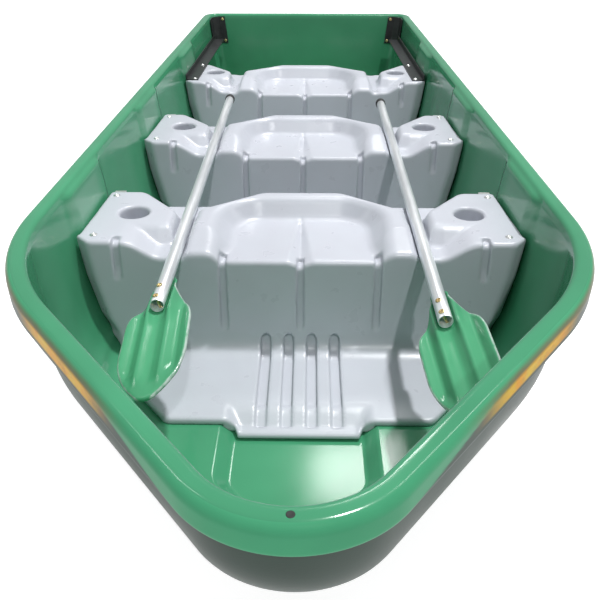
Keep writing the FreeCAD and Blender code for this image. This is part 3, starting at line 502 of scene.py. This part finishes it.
def seat_block(x, y, z, gy, cup_x):
    """The seat without its floor pan: sides, cuts, grooves and cup hole. gy is y in the boat's own axes."""
    front = -(TOP - z) * FRONT_DRAFT / (TOP - PAN)
    back = SEAT_DEPTH + (TOP - z) * BACK_DRAFT / (TOP - FLOOR_Z)
    beside_pad = smoothstep((y - PAD_START + 0.012) / PAD_RAMP)
    # a pod has its own outline at its top, behind its front edge, and elsewhere the seat fills the hull
    filled = np.maximum(np.clip((TOP - POD_DEPTH - z) * 1.5, 0, 1), np.clip((POD_FRONT - y) * 1.2, 0, 1))
    end = np.minimum(inner_half_width(gy, z) - 0.002 - PAD_DEPTH * beside_pad, pod_edge(y, cup_x) + filled)
    fall = np.clip(1 - y / LIP_RUN, 0, 1.3) * (1 - smoothstep((x - TROUGH_X) / 0.02))
    f = z - (TOP - LIP_DROP * fall)
    cuts = smooth_min(smooth_min(trough(x, y, z), scoop(x, y, z), 0.008), recess(x, y, z), 0.004)
    f = smooth_max(f, -cuts, 0.014)
    f = smooth_max(f, front - y, 0.012)
    f = smooth_max(f, y - back, 0.016)
    f = smooth_max(f, x - end, CORNER_SOFT)
    f = smooth_max(f, (x - end + front - y + CORNER_CUT) * math.sqrt(0.5), CORNER_SOFT)
    # upright grooves in the front face: the place of each, and the height of its foot
    for groove_x, foot in ((0.0, 0.100), (0.184, 0.100), (cup_x + 0.012, 0.232)):
        sides = smooth_max(np.abs(x - groove_x) - GROOVE_HALF, foot - z, 0.012)
        sides = smooth_max(sides, y - GROOVE_BACK, 0.004)
        deep = GROOVE_DEPTH * smoothstep((z - foot + 0.010) / 0.045)
        f = smooth_max(f, -smooth_max(sides, -f - deep, 0.004), 0.003)
    cup = np.hypot(x - cup_x, y - CUP_BACK) - CUP_R
    cup = np.maximum(cup, TOP - CUP_DEPTH - z)
    return smooth_max(f, -cup, 0.010)


def seat_field(front_y, cup_x):
    """A field that is negative inside a seat and its floor pan, whose tongue steps down into the channel."""
    edge = -FRONT_DRAFT - PAN_REACH
    start = edge + 0.048                # where the tongue starts to step down

    def field(gx, gy, gz):
        x, y, z = np.abs(gx), gy - front_y, gz
        f = seat_block(x, y, z, gy, cup_x)
        half = TONGUE_HALF + TONGUE_SPLAY * np.clip((z - (PAN - TONGUE_DROP)) / TONGUE_DROP, 0, 1)
        drop = PAN - TONGUE_DROP * np.clip((start - y) / TONGUE_RUN, 0, 1)
        well = smooth_max(x - half, drop - z, 0.010)
        top = smooth_max(z - PAN, -smooth_max(well, y - start - 0.004, 0.010), 0.010)
        middle = smoothstep((0.142 - x) / 0.012)
        pan = smooth_max(top, edge - TONGUE_REACH * middle - y, 0.012)
        pan = smooth_max(pan, (x - PAN_CORNER_X - (y - edge) * math.tan(PHI)) * math.cos(PHI), 0.010)
        pan = smooth_max(pan, x - inner_half_width(gy, np.maximum(z, 0.036)) + 0.016, 0.008)
        pan = np.maximum(pan, y - 0.05)
        cover = smooth_min(f, pan, PAN_BLEND)
        # the underside lies on the floor, and hangs into the channel below the tongue
        below = np.maximum(np.minimum(0.026, drop - 0.018), 0.0128)
        pan = smooth_max(pan, np.where(x < 0.165, below, FLOOR_Z - 0.001) - z, 0.004)
        f = smooth_max(f, FLOOR_Z - 0.001 - z, 0.004)
        f = smooth_min(f, pan, PAN_BLEND)
        deep = 0.0070 + 0.0040 * smoothstep((y - start) / 0.020)
        for slot_x in SLOTS:
            sides = smooth_max(np.abs(x - slot_x) - SLOT_HALF, edge + 0.002 - y, 0.008)
            sides = smooth_max(sides, z - PAN - SLOT_TOP, 0.020)
            f = smooth_max(f, -smooth_max(sides, -cover - deep, 0.003), 0.0025)
        return f
    return field


def build_seat(name, front_y, cup_x, material):
    """A seat moulding with its floor pan, meshed from its field."""
    field = seat_field(front_y, cup_x)
    low = (-0.545, front_y - 0.335, 0.012)
    high = (0.545, front_y + SEAT_DEPTH + 0.030, TOP + 0.012)
    verts, quads = surface_of(field, low, high, SEAT_STEP)
    obj = new_object(f"{name}_seat_skin", settle(field, verts), quads)
    return dress(obj, "boat", material, f"{name}_seat")


# ---------------------------------------------------------------- oars and fastenings
# A blade lies along y, from its neck, behind the shaft's end at the origin, to its tip at negative y.

BLADE_HALF, NECK_HALF, NECK_END_HALF = 0.071, 0.020, 0.008
NECK_START, SHOULDER_END, SIDE_START, TIP_START = 0.112, -0.035, -0.110, -0.223
SIDE_R, TIP_R, TIP_CENTRE = 0.1548, 0.0262, -0.2088
BLADE_BACK, BLADE_TIP, BLADE_THICKNESS, BLADE_STEP = 0.149, -0.2345, 0.0100, 0.0025
CRADLE_Z, BLADE_BEND = -0.0156, 0.036 / 0.235   # the cradle's height and how steeply the blade falls
RIDGE_X, FLUTE_X, EDGE_X = 0.0235, 0.046, 0.056
CAP_SECTION = [(0.0152, 0.0), (0.0170, 0.0), (0.0179, 0.0010), (0.0180, 0.004), (0.0176, 0.006),
               (0.0180, 0.008), (0.0180, 0.018), (0.0172, 0.0220), (0.0145, 0.0238), (0.0060, 0.0240),
               (0.0010, 0.0240)]
CAP_LENGTH, CAP_END = 0.024, 0.004              # a cap stands out past its shaft's end by CAP_END
# Screws and bolts: radius and height of the head, radius of the shank.
SCREW_R, SCREW_HEIGHT, SCREW_SHANK, WASHER = 0.0065, 0.0030, 0.0029, 0.0006
OAR_SCREWS, OAR_SCREW_LENGTH = (0.016, 0.058), 0.0355         # places along the shaft from its forward end
BOLT_R, BOLT_HEIGHT, BOLT_SHANK, BOLT_LENGTH = 0.0070, 0.0045, 0.0039, 0.0165
BOLT_BACK, TRANSOM_LEAN = 0.005, 0.0968         # the back of a bolt's head, and the slope it stands on


def blade_half(y):
    """Half width of a blade at a place along it."""
    turn = 0.5 * math.pi * np.clip((y - SHOULDER_END) / (NECK_START - SHOULDER_END), 0, 1)
    shoulder = NECK_HALF + (BLADE_HALF - NECK_HALF) * np.cos(turn)**2
    side = BLADE_HALF - SIDE_R + np.sqrt(np.maximum(SIDE_R**2 - (y - SIDE_START)**2, 0))
    tip = np.sqrt(np.maximum(TIP_R**2 - (y - TIP_CENTRE)**2, 0))
    end = np.where(y > TIP_START, side, tip)
    wide = np.where(y > SHOULDER_END, shoulder, np.where(y > SIDE_START, BLADE_HALF, end))
    neck = NECK_HALF - (NECK_HALF - NECK_END_HALF) * smoothstep((y - NECK_START) / 0.038)
    return np.where(y > NECK_START, neck, wide)


def blade_top(x, y):
    """Height of a blade's upper face: a cradle for the shaft between two ridges, and a flute beyond each."""
    a = np.abs(x)
    bend = np.minimum(y, 0) * BLADE_BEND
    end = smoothstep((y + 0.212) / 0.045)
    ridge = (0.0062 + 0.0050 * smoothstep((y + 0.050) / 0.070)) * end
    flute = 0.0072 * smoothstep((y + 0.190) / 0.045) * smoothstep((0.090 - y) / 0.05)
    middle = 0.004 * smoothstep((0.01 - y) / 0.03) * end
    waves = ridge * np.exp(-((a - RIDGE_X) / 0.0085)**2) - flute * np.exp(-((a - FLUTE_X) / 0.0095)**2)
    edge = 0.0025 * smoothstep((a - EDGE_X) / 0.012)
    return CRADLE_Z + bend + waves - middle * np.exp(-(a / 0.010)**2) + edge


def blade_field(x, y, z):
    """Negative inside a blade."""
    half = blade_half(y)
    slope = (blade_half(y + 0.001) - blade_half(y - 0.001)) / 0.002
    side = (np.abs(x) - half) / np.sqrt(1 + np.clip(slope, -4, 4)**2)
    side = smooth_max(side, BLADE_TIP - y, 0.010)
    side = smooth_max(side, y - BLADE_BACK, 0.006)
    top = blade_top(x, y)
    return smooth_max(smooth_max(z - top, top - BLADE_THICKNESS - z, 0.003), side, 0.0065)


def build_blade(side, matrix, material):
    """An oar's blade, with its edge marked as worn."""
    verts, quads = surface_of(blade_field, (-0.080, -0.245, -0.075), (0.080, 0.160, 0.010), BLADE_STEP)
    verts = settle(blade_field, verts)
    obj = new_object(f"blade_skin_{side}", verts, quads)
    edge = np.abs(verts[:, 0]) - blade_half(verts[:, 1])
    worn = smoothstep((edge + 0.0045) / 0.0030) * (verts[:, 1] < 0.10)
    paint(obj, "worn", worn)
    obj.matrix_world = matrix
    return dress(obj, f"oar_{side}", material, f"oar_blade_{side}")


def tube(length, outer, inner):
    """Vertices and faces of an open tube along +Z with rounded ends."""
    soft, turns = 0.0004, 48
    profile = [(inner, soft), (inner + soft, 0.0), (outer - soft, 0.0), (outer, soft)]
    profile += [(outer, length * k / 12) for k in range(1, 12)]
    profile += [(outer, length - soft), (outer - soft, length)]
    profile += [(inner + soft, length), (inner, length - soft)]
    verts, faces = lathe(profile, turns)
    n = (len(profile) - 1) * turns
    faces = faces[:-2] + [(k + n, (k + 1) % turns + n, (k + 1) % turns, k) for k in range(turns)]
    return verts, faces


def screw_head(radius, height):
    """Vertices and faces of a pan head standing on the ground, with a cross recess in its dome."""
    turns = 48
    side = [(1.0, 0.0), (1.0, 0.25), (0.985, 0.40), (0.94, 0.58), (0.86, 0.74)]
    dome = [(r, 1.0 - 0.30 * r * r) for r in np.linspace(0.76, 0.04, 15)]
    verts, faces = lathe([(radius * r, height * h) for r, h in side + dome], turns)
    for i, (x, y, z) in enumerate(verts):
        near, far = sorted((abs(x), abs(y)))
        if i >= len(side) * turns and near < 0.15 * radius and far < 0.56 * radius:
            verts[i] = (x, y, z - 0.55 * height)
    return verts, faces


def build_screws(name, body, material, replaced, places, length, size, washer=0.0):
    """Several screws as one piece. Each place is a matrix whose +Z points out of the head."""
    radius, height, shank = size
    head = screw_head(radius, height)
    stem = lathe([(shank * 0.3, -length), (shank, -length + 0.004), (shank, 0.0002)], 20)
    ring = lathe([(radius * 1.35, 0), (radius * 1.35, washer), (radius * 0.5, washer)], 40)
    parts = []
    for matrix in places:
        lift = matrix @ Matrix.Translation((0, 0, washer))
        parts += [(*head, lift), (*stem, matrix)]
        if washer:
            parts.append((*ring, matrix))
    return dress(merged(name, parts), body, material, replaced)


def bracket_bolts(side, sign):
    """Places of a bracket's two bolt heads, which face forward."""
    low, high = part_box(f"stern_bolts_{side}")
    turn = Matrix.Rotation(math.pi / 2, 4, "X")
    inner, outer = sorted((abs(low.x), abs(high.x)))
    r, y = BOLT_R, low.y + BOLT_BACK
    lean = (high.z - low.z - 2 * r) * TRANSOM_LEAN
    ends = [(outer - r, y + lean, high.z - r), (inner + r, y, low.z + r)]
    return [Matrix.Translation((sign * x, y, z)) @ turn for x, y, z in ends]


def build_rail(name, side, sign, material):
    """An angle strip that follows a pod's edge from below, with a tail that shows behind the pod."""
    low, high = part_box(f"{name}_rail_{side}")
    front_y, cup_x = next((f, c) for n, f, c in SEATS if n == name)
    inner, top, thick, soft, bend = min(abs(low.x), abs(high.x)), high.z, 0.003, 0.0006, 0.0016
    places = np.linspace(low.y + 0.025, high.y, 14)
    verts = []
    for y in places:
        out = float(pod_edge(y - front_y, cup_x)) - 0.005
        section = [(inner, top - thick), (inner, top - soft), (inner + soft, top), (out - bend, top),
                   (out - 0.0004, top - soft), (out, top - bend), (out, top - 0.025), (out - soft, low.z),
                   (out - thick, low.z), (out - thick, top - thick)]
        verts += [(sign * x, y, z) for x, z in section]
    n = len(section)
    last = n * (len(places) - 1)
    faces = [(base + k, base + (k + 1) % n, base + n + (k + 1) % n, base + n + k)
             for base in range(0, last, n) for k in range(n)]
    faces += [tuple(range(n))[::-1], tuple(range(last, last + n))]
    obj = new_object(f"{name}_rail_skin_{side}", verts, faces, smooth=False)
    outward(obj)
    return dress(obj, "boat", material, f"{name}_rail_{side}")


# ---------------------------------------------------------------- materials


class Finish:
    """A material whose colour, roughness and surface vary with noise in the piece's own coordinates."""

    def __init__(self, name, metallic=0.0, stretch=(1, 1, 1)):
        self.mat = bpy.data.materials.new(name)
        self.mat.use_nodes = True
        self.tree = self.mat.node_tree
        self.shader = self.tree.nodes["Principled BSDF"]
        self.shader.inputs["Metallic"].default_value = metallic
        coords = self.add("ShaderNodeTexCoord")
        mapping = self.add("ShaderNodeMapping", {"Scale": stretch})
        self.tree.links.new(coords.outputs["Object"], mapping.inputs["Vector"])
        self.place = mapping.outputs["Vector"]

    def add(self, kind, values=None, **settings):
        node = self.tree.nodes.new(kind)
        for key, value in settings.items():
            setattr(node, key, value)
        for key, value in (values or {}).items():
            if isinstance(value, bpy.types.NodeSocket):
                self.tree.links.new(value, node.inputs[key])
            else:
                node.inputs[key].default_value = value
        return node

    def noise(self, scale, detail=3.0, rough=0.55):
        values = {"Vector": self.place, "Scale": scale, "Detail": detail, "Roughness": rough}
        return self.add("ShaderNodeTexNoise", values).outputs["Fac"]

    def spread(self, value, low, high, start=0.30, end=0.70):
        values = {"Value": value, "From Min": start, "From Max": end, "To Min": low, "To Max": high}
        return self.add("ShaderNodeMapRange", values).outputs["Result"]

    def times(self, a, b):
        return self.add("ShaderNodeMath", {0: a, 1: b}, operation="MULTIPLY").outputs[0]

    def mix(self, share, a, b):
        values = {0: share}
        for index, colour in ((6, a), (7, b)):
            values[index] = colour if isinstance(colour, bpy.types.NodeSocket) else (*colour, 1)
        return self.add("ShaderNodeMix", values, data_type="RGBA").outputs[2]

    def attribute(self, name):
        return self.add("ShaderNodeAttribute", attribute_name=name).outputs["Fac"]

    def close(self, colour, roughness, *bumps):
        """Links colour and roughness, and stacks bumps given as (noise, distance in metres)."""
        self.tree.links.new(colour, self.shader.inputs["Base Color"])
        self.tree.links.new(roughness, self.shader.inputs["Roughness"])
        normal = None
        for height, distance in bumps:
            values = {"Height": height, "Distance": distance, "Strength": 1.0}
            if normal:
                values["Normal"] = normal
            normal = self.add("ShaderNodeBump", values).outputs["Normal"]
        self.tree.links.new(normal, self.shader.inputs["Normal"])
        return self.mat


def shade(colour, factor):
    return tuple(min(1.0, c * factor) for c in colour)


def plain(name, colour, rough, spread, scale, grain, depth, metallic=0.0):
    """A finish in one colour that varies by spread. scale and grain are noises, and depth is the grain's."""
    f = Finish(name, metallic)
    wide, fine = f.noise(scale), f.noise(grain, 2.0)
    tone = f.mix(f.spread(wide, 0.0, 1.0), shade(colour, 1 - spread), shade(colour, 1 + spread))
    return f.close(tone, f.spread(wide, rough * 0.85, rough * 1.2), (fine, depth), (wide, depth * 6))


# The third of these greens is painted reflection: the paler tone the inner wall shows beside each seat, where
# its gloss mirrors the light.
HULL_GREEN, OUTER_GREEN, REFLECTION_GREEN = (0.052, 0.262, 0.135), (0.036, 0.055, 0.045), (0.34, 0.50, 0.42)
# The first of these is the darker grey-brown of the lip's side along the flanks.
LIP_BROWN, YELLOW, ORANGE = (0.13, 0.125, 0.075), (0.52, 0.33, 0.0), (0.56, 0.24, 0.0)
BLADE_GREEN, SCUFF = (0.062, 0.300, 0.150), (0.42, 0.50, 0.46)
SEAT_GREY, SEAT_CLOUD = (0.475, 0.490, 0.540), (0.46, 0.51, 0.55)


def hull_inside():
    f = Finish("hull_inside")
    wide, fine, speck = f.noise(3.0), f.noise(260.0, 2.0), f.noise(900.0, 1.0)
    tone = f.mix(f.spread(wide, 0.0, 1.0), shade(HULL_GREEN, 0.90), shade(HULL_GREEN, 1.10))
    # painted reflection: a paler green mixed into the inner wall beside the seats, above their tops
    tone = f.mix(f.times(f.attribute("painted_reflection"), 0.30), tone, REFLECTION_GREEN)
    return f.close(tone, f.spread(wide, 0.11, 0.17), (fine, 0.00004), (speck, 0.000018), (wide, 0.0009))


def hull_outside():
    f = Finish("hull_outside")
    wide, patch, fine = f.noise(4.0), f.noise(16.0, 5.0, 0.7), f.noise(300.0, 2.0)
    tone = f.mix(f.spread(wide, 0.0, 1.0), shade(OUTER_GREEN, 0.85), shade(OUTER_GREEN, 1.12))
    green = f.mix(f.spread(wide, 0.0, 1.0), shade(HULL_GREEN, 0.90), shade(HULL_GREEN, 1.10))
    tone = f.mix(f.attribute("rim"), tone, green)
    # a darker grey-brown band along the lip's side on the flanks
    tone = f.mix(f.times(f.attribute("lip_band"), f.spread(patch, 0.6, 1.0)), tone, LIP_BROWN)
    blot = f.noise(26.0, 4.0, 0.7)
    streak = f.times(f.attribute("streak"), f.spread(blot, 0.75, 1.0, 0.34, 0.50))
    tone = f.mix(streak, tone, f.mix(f.spread(patch, 0.0, 1.0, 0.40, 0.60), YELLOW, ORANGE))
    f.shader.inputs["Specular IOR Level"].default_value = 0.05
    return f.close(tone, f.spread(wide, 0.28, 0.40), (fine, 0.00010), (wide, 0.0010))


def blade_finish():
    f = Finish("blade_green", stretch=(1, 0.4, 1))
    wide, fine = f.noise(11.0), f.noise(350.0, 2.0)
    tone = f.mix(f.spread(wide, 0.0, 1.0), shade(BLADE_GREEN, 0.88), shade(BLADE_GREEN, 1.12))
    worn = f.times(f.attribute("worn"), f.spread(f.noise(90.0, 4.0), 0.35, 1.0, 0.35, 0.55))
    tone = f.mix(worn, tone, SCUFF)
    return f.close(tone, f.spread(wide, 0.14, 0.26), (fine, 0.00010), (wide, 0.0016))


def seat_finish():
    f = Finish("seat_grey")
    wide, cloud, fine = f.noise(2.2), f.noise(18.0, 4.0), f.noise(380.0, 2.0)
    tone = f.mix(f.spread(wide, 0.0, 1.0), shade(SEAT_GREY, 0.94), shade(SEAT_GREY, 1.05))
    tone = f.mix(f.spread(cloud, 0.0, 0.22), tone, SEAT_CLOUD)
    return f.close(tone, f.spread(cloud, 0.26, 0.38), (fine, 0.00010), (cloud, 0.0006))


def shaft_finish():
    f = Finish("oar_aluminium", 0.72, (1, 0.06, 1))
    long, blotch = f.noise(260.0, 3.0), f.noise(60.0, 5.0, 0.7)
    tone = f.mix(f.spread(blotch, 0.0, 1.0), (0.72, 0.75, 0.78), (0.93, 0.95, 0.96))
    return f.close(tone, f.spread(blotch, 0.28, 0.46), (long, 0.00008), (blotch, 0.0003))


inside, outside, seat_grey, blade_green = hull_inside(), hull_outside(), seat_finish(), blade_finish()
alloy = shaft_finish()
zinc = plain("zinc", (0.74, 0.75, 0.74), 0.36, 0.15, 60.0, 500.0, 0.00004, metallic=0.75)
black = plain("black_paint", (0.020, 0.021, 0.022), 0.34, 0.30, 40.0, 350.0, 0.00010)
brass = plain("brass", (0.72, 0.55, 0.27), 0.26, 0.14, 90.0, 600.0, 0.00004, metallic=0.9)
gold_zinc = plain("gold_zinc", (0.66, 0.52, 0.26), 0.32, 0.16, 80.0, 600.0, 0.00004, metallic=0.8)
rubber = plain("rubber", (0.022, 0.022, 0.023), 0.55, 0.25, 60.0, 500.0, 0.00008)
# painted shade: a near-black finish for the disc that stands for the painter hole's inside
hole_shade = plain("painted_hole_shade", (0.010, 0.012, 0.011), 0.60, 0.20, 60.0, 500.0, 0.00005)
by_slot = {"hull_plastic": inside, "seat_plastic": seat_grey, "blade_plastic": blade_green,
           "shaft_aluminium": alloy, "cap_rubber": rubber, "zinc_steel": zinc, "black_steel": black,
           "brass_screws": brass}
for entry in frame["record"]["subparts"]:
    obj = nodes[entry["node"]]
    obj.data.materials.clear()
    obj.data.materials.append(by_slot[entry["material_slot"]])


# ---------------------------------------------------------------- the boat

def mark_hull(hull):
    """Where the hull's outside is green, has a darker grey-brown band on the lip or a yellow streak, and
    where its inside has a painted reflection.
    """
    x, y, z = np.array([v.co for v in hull.data.vertices]).T
    # green from this height up: only the rim's top edge along the sides, the whole rim at bow and stern
    green_from = 0.386 + 0.040 * smoothstep((y + 1.62) / 0.26) * smoothstep((1.50 - y) / 0.10)
    paint(hull, "rim", smoothstep((z - green_from + 0.003) / 0.006))
    along = smoothstep((y + 1.50) / 0.12) * smoothstep((0.5 - y) / 1.0)
    # a darker grey-brown band on the lip's side, from 0.412 to 0.434 m up, along the flanks
    paint(hull, "lip_band", smoothstep((z - 0.412) / 0.008) * smoothstep((0.434 - z) / 0.006) * along)
    flank = along * smoothstep((-1.16 - y) / 0.09) * smoothstep((y + 1.47) / 0.10)
    paint(hull, "streak", smoothstep((z - 0.396) / 0.006) * smoothstep((0.426 - z) / 0.007) * flank)
    # painted reflection: the inner wall beside each seat, above the seat's top, is made paler, as where it
    # mirrors the light
    painted_reflection = np.zeros(len(x))
    for _, front_y, _ in SEATS:
        painted_reflection += smoothstep((y - front_y - 0.030) / 0.03) * smoothstep((front_y + 0.28 - y) / 0.06)
    paint(hull, "painted_reflection", painted_reflection * smoothstep((z - 0.335) / 0.02) * smoothstep((0.418 - z) / 0.02))


def build_oar(side, sign, start, roll):
    """An oar in its troughs: blade, shaft, end cap and screws."""
    body = f"oar_{side}"
    matrix = Matrix.Translation((sign * TROUGH_X, start, SHAFT_Z)) @ Matrix.Rotation(-roll, 4, "Y")
    aft = Matrix.Rotation(-math.pi / 2, 4, "X")     # turns +Z to the shaft's direction
    build_blade(side, matrix, blade_green)
    shaft = merged(f"shaft_skin_{side}", [(*tube(SHAFT_LENGTH, SHAFT_R, SHAFT_R - SHAFT_WALL), aft)])
    shaft.matrix_world = matrix
    dress(shaft, body, alloy, f"oar_shaft_{side}")
    cap_at = matrix @ aft @ Matrix.Translation((0, 0, SHAFT_LENGTH + CAP_END - CAP_LENGTH))
    cap = merged(f"cap_skin_{side}", [(*lathe(CAP_SECTION, 48), cap_at)])
    dress(cap, body, rubber, f"oar_cap_{side}")
    places = [matrix @ Matrix.Translation((0, at, SHAFT_R + 0.0002)) for at in OAR_SCREWS]
    build_screws(f"oar_screw_skins_{side}", body, brass, f"oar_screws_{side}", places,
                 OAR_SCREW_LENGTH, (SCREW_R, SCREW_HEIGHT, SCREW_SHANK))


def build_seat_screws(name, side):
    """The two screws that hold a pod's edge down, at the ends of their node's box."""
    low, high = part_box(f"{name}_screws_{side}")
    x, top = (low.x + high.x) / 2, high.z - SCREW_HEIGHT
    places = [Matrix.Translation((x, y, top)) for y in (low.y + SCREW_R, high.y - SCREW_R)]
    build_screws(f"{name}_screw_skins_{side}", "boat", zinc, f"{name}_screws_{side}", places,
                 high.z - low.z - 0.0035, (SCREW_R, SCREW_HEIGHT, SCREW_SHANK), WASHER)


hull = build_hull(outside, inside)
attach(hull, "boat")
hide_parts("hull")
mark_hull(hull)

# The painter hole is not cut in the rim: a dark disc sits where it is, painted shade for the hole's inside.
hole = mounts["painter_hole"]
disc = lathe([(0.0056, -0.0020), (0.0056, 0.0002), (0.0050, 0.0005), (0.0040, 0.0003), (0.0008, 0.0003)])
hole_shade_disc = merged("painter_hole_shade_disc", [(*disc, Matrix.Translation((hole[0], hole[1], RIM_TOP)))])
dress(hole_shade_disc, "boat", hole_shade)

for name, front_y, cup_x in SEATS:
    build_seat(name, front_y, cup_x, seat_grey)
for oar in OARS:
    build_oar(*oar)
for side, sign in (("starboard", -1), ("port", 1)):
    build_screws(f"stern_bolt_skins_{side}", "boat", gold_zinc, f"stern_bolts_{side}",
                 bracket_bolts(side, sign), BOLT_LENGTH, (BOLT_R, BOLT_HEIGHT, BOLT_SHANK))
    for name, _, _ in SEATS:
        if name != "rear":
            build_rail(name, side, sign, zinc)
        build_seat_screws(name, side)


# ---------------------------------------------------------------- stage, light and camera


def hang(name, data, turn, place=(0, 0, 0)):
    """Puts a light or camera in the scene."""
    obj = bpy.data.objects.new(name, data)
    obj.location = place
    obj.rotation_euler = turn
    bpy.context.scene.collection.objects.link(obj)
    return obj


def area_light(name, place, target, size, power):
    light = bpy.data.lights.new(name, "AREA")
    light.shape = "RECTANGLE"
    light.size, light.size_y = size
    light.energy = power
    hang(name, light, (Vector(target) - Vector(place)).to_track_quat("-Z", "Y").to_euler(), place)


def sun_light(name, towards, degrees, power):
    light = bpy.data.lights.new(name, "SUN")
    light.energy = power
    light.angle = math.radians(degrees)
    hang(name, light, Vector(towards).to_track_quat("Z", "Y").to_euler())


reach = 30
corners = [(-reach, -reach, 0), (reach, -reach, 0), (reach, reach, 0), (-reach, reach, 0)]
floor = new_object("floor", corners, [(0, 1, 2, 3)], smooth=False)
pale_floor = plain("pale_floor", (0.50, 0.50, 0.50), 0.80, 0.01, 3.0, 200.0, 0.0001)
floor_shader = pale_floor.node_tree.nodes["Principled BSDF"]
floor_shader.inputs["Emission Color"].default_value = (1, 1, 1, 1)
floor_shader.inputs["Emission Strength"].default_value = 0.78
floor.data.materials.append(pale_floor)

world = bpy.data.worlds.new("studio")
world.use_nodes = True
world.node_tree.nodes["Background"].inputs["Color"].default_value = (0.97, 0.985, 1, 1)
world.node_tree.nodes["Background"].inputs["Strength"].default_value = 0.37
bpy.context.scene.world = world
sun_light("sun", (0.25, 0.18, 1), 3, 2.7)
sun_light("low_sun", (0.20, -0.80, 1), 2, 0.85)
area_light("glare", (0.40, 1.75, 3.0), (0.08, -1.15, 0.01), (0.68, 0.46), 17)
area_light("left_strip", (-2.4, -0.4, 2.4), (0, -0.4, 0.2), (0.12, 2.8), 15)
area_light("right_strip", (2.3, -0.2, 2.2), (0, -0.4, 0.2), (0.20, 2.8), 15)

camera = bpy.data.cameras.new("camera")
camera.lens = 41.5
camera.sensor_width = 36
look = (math.radians(90 - 31.8), 0, math.radians(0.76))
bpy.context.scene.camera = hang("camera", camera, look, (0.018, -2.170, RIM_TOP + 0.623))
bpy.context.scene.view_settings.view_transform = "Standard"
